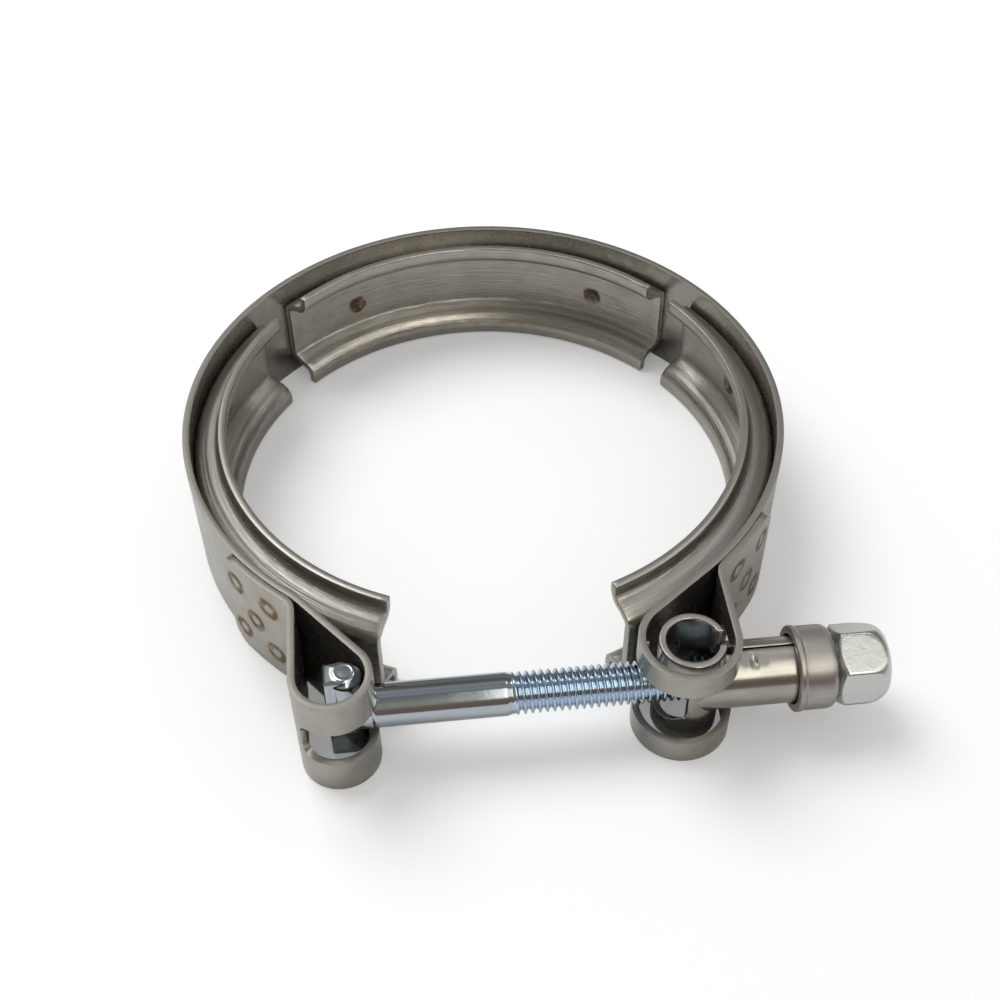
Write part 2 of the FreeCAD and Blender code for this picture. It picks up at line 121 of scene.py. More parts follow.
weld_straw_colour = [0.42, 0.31, 0.16, 1.0]


def add_piece(name, mesh):
    """Object of that mesh, with smooth faces."""
    mesh.shade_smooth()
    return add_object(name, mesh)


def surface(name, grid, uv=None, keep=None, close_rows=False, close_columns=False):
    """Quad mesh over a grid of points, shaped (rows, columns, 3), in millimetres.

    Each face joins point (i, j) to (i, j+1), (i+1, j+1) and (i+1, j). keep says which faces
    stay; rows or columns may close on themselves. uv, shaped (rows, columns, 2), is in metres.
    """
    rows, columns = grid.shape[:2]
    index = np.arange(rows * columns).reshape(rows, columns)
    if close_rows:
        index = np.vstack([index, index[:1]])
    if close_columns:
        index = np.hstack([index, index[:, :1]])
    quads = np.stack([index[:-1, :-1], index[:-1, 1:], index[1:, 1:], index[1:, :-1]], axis=-1)
    if keep is not None:
        quads = quads[keep]
    quads = quads.reshape(-1, 4)
    used, quads = np.unique(quads, return_inverse=True)
    quads = quads.reshape(-1, 4)
    points = grid.reshape(-1, 3)[used] * 0.001
    mesh = bpy.data.meshes.new(name)
    mesh.from_pydata(points.tolist(), [], quads.tolist())
    if uv is not None:
        layer = mesh.uv_layers.new(name="surface")
        corners = uv.reshape(-1, 2)[used][quads.ravel()]
        layer.data.foreach_set("uv", corners.astype(np.float32).ravel())
    mesh.update()
    return mesh


def as_grid(*parts):
    """Grid of points or pairs from arrays of their coordinates, each (rows or 1, columns or 1)."""
    return np.dstack(np.broadcast_arrays(*parts))


def merged(mesh):
    """The mesh with points at one place joined and its normals turned outwards."""
    work = bmesh.new()
    work.from_mesh(mesh)
    bmesh.ops.remove_doubles(work, verts=work.verts, dist=2e-6)
    bmesh.ops.recalc_face_normals(work, faces=work.faces)
    work.to_mesh(mesh)
    work.free()
    mesh.update()
    return mesh


def finished(piece):
    """The piece with its modifiers worked into its mesh."""
    depsgraph = bpy.context.evaluated_depsgraph_get()
    mesh = bpy.data.meshes.new_from_object(piece.evaluated_get(depsgraph))
    mesh.name = piece.name
    piece.modifiers.clear()
    piece.data = mesh
    mesh.shade_smooth()
    return piece


def thickened(piece, thickness, edge_radius):
    """Sheet of that thickness on both sides of the surface, with rounded edges."""
    solidify = piece.modifiers.new("sheet", "SOLIDIFY")
    solidify.thickness = thickness * 0.001
    solidify.offset = 0.0
    bevel = piece.modifiers.new("edges", "BEVEL")
    bevel.width = edge_radius * 0.001
    bevel.segments = 2
    bevel.limit_method = "ANGLE"
    bevel.angle_limit = math.radians(40.0)
    return finished(piece)


def points_of(piece):
    """Points of the piece's mesh in millimetres, shaped (count, 3)."""
    points = np.empty(len(piece.data.vertices) * 3)
    piece.data.vertices.foreach_get("co", points)
    return points.reshape(-1, 3) * 1000.0


def move_points(piece, points):
    """Puts points in millimetres back into the piece's mesh."""
    piece.data.vertices.foreach_set("co", (points * 0.001).astype(np.float32).ravel())
    piece.data.update()


def spread(start, end, step):
    """Even stations from start to end, about a step apart, without the last one."""
    count = max(1, math.ceil(abs(end - start) / step))
    return np.linspace(start, end, count + 1)[:-1]


def closer_near(start, end, middles, half_zone, step, fine_step):
    """Spans (start, end, step) from start to end, with finer ones round the middles."""
    spans = []
    for middle in middles:
        spans.append((start, middle - half_zone, step))
        start = middle + half_zone
        spans.append((middle - half_zone, start, fine_step))
    return spans + [(start, end, step)]


def sampled(spans, *more):
    """Stations over spans (start, end, step), and some more."""
    return np.concatenate([spread(*span) for span in spans] + list(more))


def rounding(radius, steps):
    """Distances from a rounded corner's end at which its arc is sampled evenly by angle."""
    return radius * (1.0 - np.cos(np.linspace(0.0, math.pi / 2, steps + 1)))


def tangent_direction(first, second):
    """Direction of the line from one bend to the next, each (centre, signed radius).

    It is the direction between the centres less asin((r2 - r1) / distance).
    """
    across = second[0] - first[0]
    lean = np.clip((second[1] - first[1]) / np.hypot(*across), -1.0, 1.0)
    return math.atan2(across[1], across[0]) - math.asin(lean)


def path_runs(bends, first_direction, last_direction):
    """Arcs and lines round the bends: (length, centre or start, radius, first direction)."""
    directions = [first_direction]
    directions += [tangent_direction(a, b) for a, b in zip(bends, bends[1:])]
    directions.append(last_direction)
    runs = []
    last_point = None
    for (centre, radius), arrive, leave in zip(bends, directions, directions[1:]):
        side = math.copysign(1.0, radius)
        turn = round((leave - arrive) * side, 9) % (2 * math.pi)
        start = centre + radius * np.array([math.sin(arrive), -math.cos(arrive)])
        if last_point is not None:
            length = np.hypot(*(start - last_point))
            if length > 1e-3:
                runs.append((length, last_point, 0.0, arrive))
        runs.append((abs(radius) * turn, centre, radius, arrive))
        end_direction = arrive + turn * side
        last_point = centre + radius * np.array([math.sin(end_direction), -math.cos(end_direction)])
    return runs


def along_path(runs, stations):
    """Points at distances along the path.

    On a line the point is start + s (cos d, sin d); on an arc it is centre + r (sin d, -cos d)
    with d growing by s / r.
    """
    points = np.empty((len(stations), 2))
    start = 0.0
    for length, origin, radius, direction in runs:
        here = stations >= start - 1e-9
        gone = stations[here] - start
        if radius == 0.0:
            ahead = np.array([math.cos(direction), math.sin(direction)])
            points[here] = origin + gone[:, None] * ahead
        else:
            turned = direction + gone / radius
            points[here] = origin + radius * np.stack([np.sin(turned), -np.cos(turned)], axis=1)
        start += length
    return points


def bend_centre(side, loop_centre, loop_mid_radius):
    """Centre of the tab's return bend: it touches both the tab's arc and the line to the loop."""
    x = loop_centre[0] + side * (loop_mid_radius + return_bend_radius)
    return np.array([x, -math.sqrt((tab_mid_radius + return_bend_radius) ** 2 - x ** 2)])


ring_centre = np.zeros(2)
left_bend_centre = bend_centre(-1, left_loop_centre, left_loop_mid_radius)
right_bend_centre = bend_centre(1, right_loop_centre, right_loop_mid_radius)
kink_centre = left_bend_centre / np.hypot(*left_bend_centre) * (strap_mid_radius + kink_radius)
strap_bends = [
    (ring_centre, tab_mid_radius),
    (left_bend_centre, -return_bend_radius),
    (left_loop_centre, left_loop_mid_radius),
    (kink_centre, kink_radius),
    (ring_centre, -strap_mid_radius),
    (right_loop_centre, right_loop_mid_radius),
    (right_bend_centre, -return_bend_radius),
    (ring_centre, tab_mid_radius),
]
strap_runs = path_runs(
    strap_bends, math.radians(tab_end_angles[0] + 90), math.radians(tab_end_angles[1] + 90)
)
run_starts = np.concatenate([[0.0], np.cumsum([run[0] for run in strap_runs])])
strap_length = run_starts[-1]
left_loop_arc, ring_arc, right_loop_arc = 3, 6, 8


def slot_span(arc, radius, angles):
    """Stations of a slot's ends, in a loop's arc and in the line after it.

    Rays from the loop's centre meet the strap there: s1 + r a on the arc, s2 + r tan b on the
    line.
    """
    first, last = map(math.radians, angles)
    return run_starts[arc] + radius * first, run_starts[arc + 1] + radius * math.tan(last)


left_slot = slot_span(left_loop_arc, left_loop_mid_radius, left_slot_angles)
right_slot = slot_span(right_loop_arc, right_loop_mid_radius, right_slot_angles)


def station_on_ring(degrees):
    """Distance along the strap at which the ring passes an angle, clockwise from the left."""
    first = math.degrees(strap_runs[ring_arc][3]) + 90.0
    return run_starts[ring_arc] + strap_mid_radius * math.radians((first - degrees) % 360.0)


def strap_stations():
    """Stations of the grid's columns: close at tabs, bends, slot ends and welds.

    Each span is its start, its end and its step; the rounded corners are sampled by angle.
    """
    tab_corner = rounding(tab_corner_radius, corner_steps)
    slot_corner = rounding(slot_corner_radius, corner_steps)
    corners = [tab_corner, strap_length - tab_corner]
    for slot in (left_slot, right_slot):
        corners += [slot[0] + slot_corner, slot[1] - slot_corner]
    spans = [
        (tab_corner_radius, run_starts[1], 0.26),
        (run_starts[1], run_starts[2], 0.3),
        (run_starts[2], left_slot[0], 0.7),
        (left_slot[0] + slot_corner_radius, left_slot[1] - slot_corner_radius, 0.45),
        (left_slot[1], run_starts[ring_arc - 1], 0.8),
        (run_starts[ring_arc - 1], run_starts[ring_arc], 0.4),
    ]
    welds = map(station_on_ring, ring_weld_angles)
    ring_ends = run_starts[ring_arc:ring_arc + 2]
    spans += closer_near(*ring_ends, welds, weld_half_zone, 1.3, 0.26)
    spans += [
        (run_starts[ring_arc + 1], run_starts[right_loop_arc], 0.9),
        (run_starts[right_loop_arc], right_slot[0], 0.4),
        (right_slot[0] + slot_corner_radius, right_slot[1] - slot_corner_radius, 0.5),
        (right_slot[1], run_starts[right_loop_arc + 2], 0.7),
        (run_starts[right_loop_arc + 2], run_starts[right_loop_arc + 3], 0.3),
        (run_starts[right_loop_arc + 3], strap_length - tab_corner_radius, 0.26),
    ]
    return np.unique(np.round(sampled(spans, *corners), 6))


def rounded_edge(stations, start, end, half_height, radius):
    """Half height h - R + sqrt(R^2 - (R - d)^2) of rounded ends, at d inside the nearer one."""
    inside = np.clip(np.minimum(stations - start, end - stations), 0.0, radius)
    return half_height - radius + np.sqrt(radius ** 2 - (radius - inside) ** 2)


def strap_mesh():
    """Strip's mid surface: path point at s for each column, three bands of rows across.

    The middle band's height follows the slots' edges and is left out inside them; the outer
    bands reach to the strip's edge, which rounds off at the tabs' ends.
    """
    stations = strap_stations()
    points = along_path(strap_runs, stations)
    half_width = rounded_edge(stations, 0.0, strap_length, strap_half_width, tab_corner_radius)
    left_edge = rounded_edge(stations, *left_slot, left_slot_half_height, slot_corner_radius)
    right_edge = rounded_edge(stations, *right_slot, right_slot_half_height, slot_corner_radius)
    share = np.clip((stations - left_slot[1]) / (right_slot[0] - left_slot[1]), 0.0, 1.0)
    edge = left_edge * (1.0 - share) + right_edge * share
    outer_rows, middle_rows = 26, 14
    outer = np.linspace(0.0, 1.0, outer_rows + 1)
    middle = np.linspace(-1.0, 1.0, middle_rows + 1)[1:-1]
    upper = edge[:, None] + (half_width - edge)[:, None] * outer
    heights = np.hstack([-upper[:, ::-1], edge[:, None] * middle, upper])
    grid = as_grid(points[:, :1], points[:, 1:], heights)
    uv = as_grid(stations[:, None], heights) * 0.001
    between = (stations[:-1] + stations[1:]) / 2
    in_slot = (between > left_slot[0]) & (between < left_slot[1])
    in_slot |= (between > right_slot[0]) & (between < right_slot[1])
    row = np.arange(heights.shape[1] - 1)
    in_band = (row >= outer_rows) & (row < outer_rows + middle_rows)
    return surface("strap", grid, uv, keep=~(in_slot[:, None] & in_band[None, :]))


def tab_weld_places():
    """Angle and height of the tabs' ten spot welds."""
    places = []
    for end_angle, side in zip(tab_end_angles, (1, -1)):
        rows = [end_angle + side * degrees for degrees in weld_rows_from_tab_end]
        places.append((sum(rows) / 2, tab_middle_weld_height))
        heights = (weld_row_height, -weld_row_height)
        places += [(angle, height) for angle in rows for height in heights]
    return places


def to_nearest_weld(points, radius, places):
    """Offset along the strip and up from each point to the nearest of the weld places.

    Past weld_reach it is one far value, so that no face runs from one weld's offsets to the next's.
    """
    angles = np.degrees(np.arctan2(points[:, 1], points[:, 0]))
    best = np.full((len(points), 2), far_from_welds)
    for degrees, height in places:
        around = (angles - degrees + 180.0) % 360.0 - 180.0
        offset = np.stack([np.radians(around) * radius, points[:, 2] - height], axis=1)
        nearer = np.hypot(*offset.T) < np.hypot(*best.T)
        best[nearer] = offset[nearer]
    best[np.hypot(*best.T) > weld_reach] = far_from_welds
    return best


def weld_dent(distance):
    """Depth of the electrode's ring mark: d sin(pi s)^0.7 at share s from its core to its rim."""
    across = (distance - weld_core_radius) / (weld_mark_radius - weld_core_radius)
    inside = np.clip(across, 0.0, 1.0)
    return weld_mark_depth * np.sin(math.pi * inside) ** 0.7


def press_welds(piece, points, depth, offset):
    """Presses points in towards the pipe's axis, or out where the depth is below zero.

    The points keep their offsets to the welds, as weld_offset, for the material.
    """
    points[:, :2] *= (1.0 - depth / np.hypot(points[:, 0], points[:, 1]))[:, None]
    move_points(piece, points)
    attribute = piece.data.attributes.new("weld_offset", "FLOAT_VECTOR", "POINT")
    packed = np.hstack([offset, np.zeros((len(offset), 1))]).astype(np.float32)
    attribute.data.foreach_set("vector", packed.ravel())


strap = thickened(add_piece("strap", strap_mesh()), strap_thickness, strap_edge_radius)
strap_points = points_of(strap)
strap_radius = np.hypot(strap_points[:, 0], strap_points[:, 1])
on_tab = strap_radius > strap_outer_radius + on_face
on_tab &= strap_radius < tab_mid_radius + strap_thickness
ring_weld_places = [(degrees, insert_weld_height) for degrees in ring_weld_angles]
weld_offset = np.where(
    on_tab[:, None],
    to_nearest_weld(strap_points, tab_outer_radius, tab_weld_places()),
    to_nearest_weld(strap_points, strap_outer_radius, ring_weld_places),
)
outer_face = np.where(on_tab, tab_outer_radius, strap_outer_radius)
on_outer_face = np.abs(strap_radius - outer_face) < on_face
dent = np.where(on_outer_face, weld_dent(np.hypot(*weld_offset.T)), 0.0)
press_welds(strap, strap_points, dent, weld_offset)


class Shading:
    """Nodes of one material or group: add() makes a node, sets its inputs and links them."""

    def __init__(self, tree):
        self.tree = tree
        tree.nodes.clear()

    def add(self, kind, settings=(), **inputs):
        """Node of a kind. An input is a value, or another node's output to link in.

        It goes by its socket's name, with _ for a space, or by _ and the socket's number.
        """
        node = self.tree.nodes.new(kind)
        for name, value in dict(settings).items():
            setattr(node, name, value)
        for name, value in inputs.items():
            socket = node.inputs[int(name[1:]) if name[1:].isdigit() else name.replace("_", " ")]
            if isinstance(value, bpy.types.NodeSocket):
                self.tree.links.new(value, socket)
            else:
                socket.default_value = value
        return node

    def math(self, operation, a, b=0.0):
        """One number worked out from two."""
        return self.add("ShaderNodeMath", {"operation": operation}, _0=a, _1=b).outputs[0]

    def times(self, a, b):
        """Product of two numbers."""
        return self.math("MULTIPLY", a, b)

    def plus(self, a, b):
        """Sum of two numbers."""
        return self.math("ADD", a, b)

    def ramp(self, value, low, high, start=0.0, end=1.0):
        """start below low and end above high, smoothly between."""
        settings = {"interpolation_type": "SMOOTHSTEP"}
        inputs = {"From_Min": low, "From_Max": high, "To_Min": start, "To_Max": end}
        return self.add("ShaderNodeMapRange", settings, Value=value, **inputs).outputs[0]

    def noise(self, vector, scale, detail=2.0, roughness=0.5, stretch=(1.0, 1.0, 1.0), turn=0.0):
        """Cloudy value of 0 to 1, drawn out along the axes where stretch is small."""
        rotation = (0.0, 0.0, turn)
        moved = self.add("ShaderNodeMapping", Vector=vector, Scale=stretch, Rotation=rotation)
        return self.add(
            "ShaderNodeTexNoise", Vector=moved.outputs[0], Scale=scale, Detail=detail,
            Roughness=roughness,
        ).outputs[0]

    def mix(self, share, first, second):
        """Colour between two colours."""
        settings = {"data_type": "RGBA"}
        return self.add("ShaderNodeMix", settings, _0=share, _6=first, _7=second).outputs[2]


def new_material(name):
    """Material of that name and its shading."""
    material = bpy.data.materials.new(name)
    material.use_nodes = True
    return material, Shading(material.node_tree)


def in_millimetres(shading, place):
    """A place in metres as a vector in millimetres."""
    scale = {"operation": "SCALE"}
    return shading.add("ShaderNodeVectorMath", scale, _0=place, _3=1000.0).outputs[0]


def metal_surface(shading, tone, rough, metallic, strength, distance, height):
    """Metal of that tone, with a bump of that height, as the material's surface."""
    relief = shading.add("ShaderNodeBump", Strength=strength, Distance=distance, Height=height)
    metal = shading.add(
        "ShaderNodeBsdfPrincipled", Base_Color=tone, Metallic=metallic, Roughness=rough,
        Normal=relief.outputs["Normal"],
    )
    shading.add("ShaderNodeOutputMaterial", Surface=metal.outputs[0])


def new_group(name, inputs, outputs):
    """Empty shader group with named sockets: its shading, and what comes in."""
    group = bpy.data.node_groups.new(name, "ShaderNodeTree")
    for socket, kind in inputs.items():
        group.interface.new_socket(socket, in_out="INPUT", socket_type=kind)
    for socket in outputs:
        group.interface.new_socket(socket, in_out="OUTPUT", socket_type="NodeSocketFloat")
    shading = Shading(group)
    return shading, shading.add("NodeGroupInput").outputs


def sheet_grain_group():
    """Rolled sheet: fine streaks along X of the vector, clouds of duller finish, and scratches."""
    shading, coming = new_group(
        "sheet_grain", {"Vector": "NodeSocketVector"}, ("Streaks", "Clouds", "Scratches")
    )
    vector = coming["Vector"]
    fine = shading.noise(vector, 1.0, 3.0, 0.6, (0.09, 9.0, 9.0))
    broad = shading.noise(vector, 1.0, 2.0, 0.5, (0.03, 2.2, 2.2))
    streaks = shading.plus(shading.times(fine, 0.4), shading.times(broad, 0.6))
    scratches = 0.0
    for turn, scale in ((0.5, 1.3), (-0.35, 1.7)):
        line = shading.noise(vector, scale, 0.0, 0.5, (0.12, 7.0, 7.0), turn)
        where = shading.noise(vector, 0.4 * scale, 1.0, 0.5)
        line = shading.times(shading.ramp(line, 0.66, 0.72), shading.ramp(where, 0.5, 0.62))
        scratches = shading.math("MAXIMUM", scratches, line)
    clouds = shading.noise(vector, 0.22, 4.0, 0.6)
    shading.add("NodeGroupOutput", Streaks=streaks, Clouds=clouds, Scratches=scratches)
    return shading.tree


def weld_mark_group():
    """Spot weld seen from its electrode's side: a dark ring, a bright core, a heat tint.

    Offset is the way from the weld's middle, in millimetres, as the two radii are. The edges
    wander by up to 0.4 mm and fade over a few tenths; Place makes the ring patchy.
    """
    shading, coming = new_group(
        "weld_mark",
        {
            "Offset": "NodeSocketVector", "Place": "NodeSocketVector",
            "Ring Radius": "NodeSocketFloat", "Core Radius": "NodeSocketFloat",
        },
        ("Ring", "Core", "Tint"),
    )
    offset = coming["Offset"]
    length = shading.add("ShaderNodeVectorMath", {"operation": "LENGTH"}, _0=offset)
    uneven = shading.times(shading.noise(offset, 0.9, 2.0), 0.8)
    far = shading.plus(length.outputs["Value"], shading.math("SUBTRACT", uneven, 0.4))
    past_ring = shading.math("SUBTRACT", far, coming["Ring Radius"])
    past_core = shading.math("SUBTRACT", far, coming["Core Radius"])
    burnt = shading.times(
        shading.ramp(past_ring, -0.25, 0.12, 1.0, 0.0), shading.ramp(past_core, -0.2, 0.25)
    )
    patchy = shading.ramp(shading.noise(coming["Place"], 0.5, 2.0), 0.3, 0.6, 0.45, 1.0)
    shading.add(
        "NodeGroupOutput", Ring=shading.times(burnt, patchy),
        Core=shading.ramp(past_core, -0.3, 0.15, 1.0, 0.0),
        Tint=shading.ramp(past_ring, -0.3, 0.9, 1.0, 0.0),
    )
    return shading.tree


sheet_grain = sheet_grain_group()
weld_mark = weld_mark_group()


def sheet_steel(name, colour, edge_colour, roughness, weld=None, streak_height=8e-6):
    """Bright rolled stainless steel, its cut edges and worn corners paler and duller.

    weld gives the radii of the spot welds' ring and core and the ring's colour; the piece keeps
    their places as its weld_offset. Such a piece's grain follows its UV map, another's runs
    along X. streak_height is the streaks' relief in metres.
    """
    material, shading = new_material(name)
    place = shading.add("ShaderNodeTexCoord")
    vector = in_millimetres(shading, place.outputs["UV" if weld else "Object"])
    grain = shading.add("ShaderNodeGroup", {"node_tree": sheet_grain}, Vector=vector)
    streaks, clouds, scratches = grain.outputs
    upright = shading.add("ShaderNodeSeparateXYZ", Vector=place.outputs["Normal"]).outputs["Z"]
    edge = shading.ramp(shading.math("ABSOLUTE", upright), 0.75, 0.97)
    dull = [channel * 0.86 for channel in colour[:3]] + [1.0]
    tone = shading.mix(shading.ramp(clouds, 0.35, 0.65), colour, dull)
    tone = shading.mix(shading.times(shading.ramp(streaks, 0.42, 0.62), 0.22), tone, edge_colour)
    tone = shading.mix(edge, tone, edge_colour)
    tone = shading.mix(shading.times(scratches, 0.25), tone, edge_colour)
    rough = shading.plus(roughness - 0.07, shading.times(clouds, 0.14))
    rough = shading.plus(rough, shading.times(edge, 0.18))
    if weld:
        offset = shading.add("ShaderNodeAttribute", {"attribute_name": "weld_offset"})
        mark = shading.add(
            "ShaderNodeGroup", {"node_tree": weld_mark}, Offset=offset.outputs["Vector"],
            Place=vector, Ring_Radius=weld[0], Core_Radius=weld[1],
        )
        for label, share, mark_colour in (
            ("Tint", 0.55, weld_straw_colour), ("Ring", 0.88, weld[2]), ("Core", 0.6, edge_colour)
        ):
            tone = shading.mix(shading.times(mark.outputs[label], share), tone, mark_colour)
        rough = shading.plus(rough, shading.times(mark.outputs["Ring"], 0.2))
    metal_surface(
        shading, tone, rough, metallic=0.94, strength=1.0, distance=streak_height, height=streaks
    )
    return material


strap.data.materials.append(sheet_steel(
    "strap_sheet", strap_colour, strap_edge_colour, strap_roughness,
    (weld_mark_radius, weld_core_radius, weld_burnt_colour),
))
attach(strap, "band")
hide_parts("band_strap")

# V inserts: three channels of 1.2 mm stainless sheet, rolled to shape and spot welded inside the
# strap. Their flanges pull the pipe's two flanges together, and the lips stiffen them.
insert_sheet = 1.2
insert_edge_radius = 0.16
insert_gap = 0.02
insert_outer_radius = strap_outer_radius - strap_thickness - insert_gap
groove_depth = 4.18
groove_half_height = 4.9
flange_angle = math.radians(18.0)
lip_half_height = 9.2
web_bend_inner_radius = 0.6
lip_bend_inner_radius = 1.3
insert_angles = {
    "back_insert": (40.5, 133.5),
    "left_insert": (142.0, 245.8),
    "right_insert": (-69.0, 33.5),
}
insert_on_face = 0.05
insert_dimple_radius = 1.15
insert_dimple_depth = 0.28
insert_smudge_radius = 1.7
insert_smudge_core = 0.05
insert_smudge_colour = [0.045, 0.035, 0.03, 1.0]
insert_edge_colour = [0.50, 0.48, 0.44, 1.0]
insert_roughness = 0.16
insert_streak_height = 1.2e-4
ridge_height = 0.125
ridge_place = 0.6
ridge_rounding = 0.35
column_angle = 1.6
dimple_column_angle = 0.33
dimple_half_angle = 2.2
web_inner_radius = insert_outer_radius - insert_sheet
lip_inner_radius = web_inner_radius - groove_depth


def arc_points(x, y, radius, first, last):
    """Nine points (x + r cos a, y + r sin a) from the first angle to the last."""
    angles = np.linspace(first, last, 9)
    return np.stack([x + radius * np.cos(angles), y + radius * np.sin(angles)], axis=1)


def insert_profile():
    """Middle line of the channel's section: lip, flange, web, flange, lip, with its bends.

    Points (radius, height) at even distances on the lines and every 9 degrees on the bends. The
    press leaves a low ridge along the flange: at share s across it stands h times the smaller of
    s / p and (1 - s) / (1 - p) high, rounded at the top.
    """
    web_x = web_inner_radius - web_bend_inner_radius
    web_y = (
        groove_half_height + web_bend_inner_radius * math.tan(flange_angle)
        - web_bend_inner_radius / math.cos(flange_angle)
    )
    lip_outer = lip_bend_inner_radius + insert_sheet
    lip_x = lip_inner_radius + lip_outer
    lip_y = (
        groove_half_height + (web_inner_radius - lip_x) * math.tan(flange_angle)
        + lip_outer / math.cos(flange_angle)
    )
    web_mid = web_bend_inner_radius + insert_sheet / 2
    lip_mid = lip_bend_inner_radius + insert_sheet / 2
    bend = math.pi / 2 - flange_angle
    web_arc = arc_points(web_x, web_y, web_mid, 0.0, bend)
    lip_arc = arc_points(lip_x, lip_y, lip_mid, math.pi + bend, math.pi)
    steps = np.linspace(0.0, 1.0, 15)[1:-1, None]
    along = lip_arc[0] - web_arc[-1]
    raised = np.array([along[1], -along[0]]) / np.hypot(*along)
    rising, falling = steps / ridge_place, (1.0 - steps) / (1.0 - ridge_place)
    blunt = np.maximum(ridge_rounding - np.abs(rising - falling), 0.0) ** 2 / (4.0 * ridge_rounding)
    ridge = ridge_height * (np.minimum(rising, falling) - blunt)
    upper = np.vstack([
        [(web_x + web_mid, height) for height in np.linspace(0.0, web_y, 14)[:-1]],
        web_arc,
        web_arc[-1] + steps * along + ridge * raised,
        lip_arc,
        [(lip_x - lip_mid, height) for height in np.linspace(lip_y, lip_half_height, 5)[1:]],
    ])
    lower = upper[:0:-1] * np.array([1.0, -1.0])
    return np.vstack([lower, upper])


def insert_columns(name):
    """Angles of the insert's columns, closer together near its weld dimples."""
    start, end = insert_angles[name]
    welds = insert_weld_angles[name]
    spans = closer_near(start, end, welds, dimple_half_angle, column_angle, dimple_column_angle)
    return np.radians(sampled(spans, [end]))


def insert_mesh(name):
    """Section turned about Z: (r cos a, r sin a, h) for each section point and angle."""
    angles = insert_columns(name)[:, None]
    profile = insert_profile()
    steps = np.hypot(*np.diff(profile, axis=0).T)
    across = np.concatenate([[0.0], np.cumsum(steps)])
    radius, height = profile.T
    grid = as_grid(radius * np.cos(angles), radius * np.sin(angles), height[None])
    return surface(name, grid, as_grid(angles * web_inner_radius, across[None]) * 0.001)


insert_steel = sheet_steel(
    "insert_sheet", strap_colour, insert_edge_colour, insert_roughness,
    (insert_smudge_radius, insert_smudge_core, insert_smudge_colour), insert_streak_height,
)
for insert_name in insert_angles:
    insert = add_piece(insert_name + "_sheet", insert_mesh(insert_name))
    insert = thickened(insert, insert_sheet, insert_edge_radius)
    insert_points = points_of(insert)
    insert_radius = np.hypot(insert_points[:, 0], insert_points[:, 1])
    dimple_places = [(degrees, insert_weld_height) for degrees in insert_weld_angles[insert_name]]
    dimple_offset = to_nearest_weld(insert_points, web_inner_radius, dimple_places)
    # The electrode's dimple is a rounded bowl: depth times (1 - (d / R)^2)^0.6.
    inside = np.clip(1.0 - (np.hypot(*dimple_offset.T) / insert_dimple_radius) ** 2, 0.0, 1.0)
    bowl = insert_dimple_depth * inside ** 0.6
    sink = np.where(np.abs(insert_radius - web_inner_radius) < insert_on_face, bowl, 0.0)
    press_welds(insert, insert_points, -sink, dimple_offset)
    insert.data.materials.append(insert_steel)
    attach(insert, "band")
    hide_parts(insert_name)

# T-bolt: a forged steel bar across the end of an M6 shank with a rolled thread, bright zinc
# plated. The bar turns in the left loop, and the thread runs through the trunnion.
bolt_axis_y = -47.0455
head_x = -22.798
head_radius = 2.35
head_half_height = 8.2
head_chamfer = 0.9
head_flat_width = 3.7
head_flat_height = 0.45
head_flat_top_step = 0.12
head_blend_offset = 0.8
head_fan_start = 3.3
head_fan_blend = 2.7
head_cap_dome = 0.02
head_edge_blend = 0.15
head_flat_blend = 0.25
head_bar_blend = 0.1
head_root_blend = 0.7
head_row_spans = ((0.0, 3.4, 0.13), (3.4, 7.3, 0.2), (7.3, head_half_height, 0.06))
head_reach = 7.0
head_halvings = 26
shank_radius = 3.0
shank_cut = 3.3
shank_overlap = 0.15
shank_step = 0.8
neck_lead = 1.2
neck_step = 0.12
thread_step = 0.0715
thread_start_x = head_x + 22.14
thread_run_out = 0.96
thread_fade_lead = 0.2
thread_fade_length = 1.1
neck_depth = 0.22
root_flat = 0.12
flank_width = 0.72
flank_rounding = 0.35
thread_radius = 2.95
thread_depth = 0.6
thread_pitch = 1.0
bolt_end_x = 49.75
bolt_end_chamfer = 0.7
bolt_colour = [0.48, 0.525, 0.56, 1.0]
bolt_worn_colour = [0.40, 0.43, 0.45, 1.0]
# The thread's paler, bluer colour is a painted reflection of the light along its crests.
bolt_thread_painted_sheen = [0.56, 0.67, 0.79, 1.0]


def soft_max(a, b, width):
    """Larger of two distances, rounded over a width: max + max(w - |a - b|, 0)^2 / 4w."""
    return np.maximum(a, b) + np.maximum(width - np.abs(a - b), 0.0) ** 2 / (4.0 * width)


def soft_min(a, b, width):
    """Smaller of two distances, rounded the same way."""
    return -soft_max(-a, -b, width)


def smooth_step(value):
    """s^2 (3 - 2 s) of the value held between 0 and 1."""
    share = np.clip(value, 0.0, 1.0)
    return share * share * (3.0 - 2.0 * share)


def full_turn(count):
    """Even angles once round, without the last one."""
    return np.linspace(0.0, 2 * math.pi, count + 1)[:-1]


def about_bolt(stations, radius, turn):
    """Points (x, y0 + r cos a, r sin a) about the bolt's axis, shaped (stations, angles, 3)."""
    across = bolt_axis_y + radius * np.cos(turn)
    return as_grid(stations[:, None], across, radius * np.sin(turn))


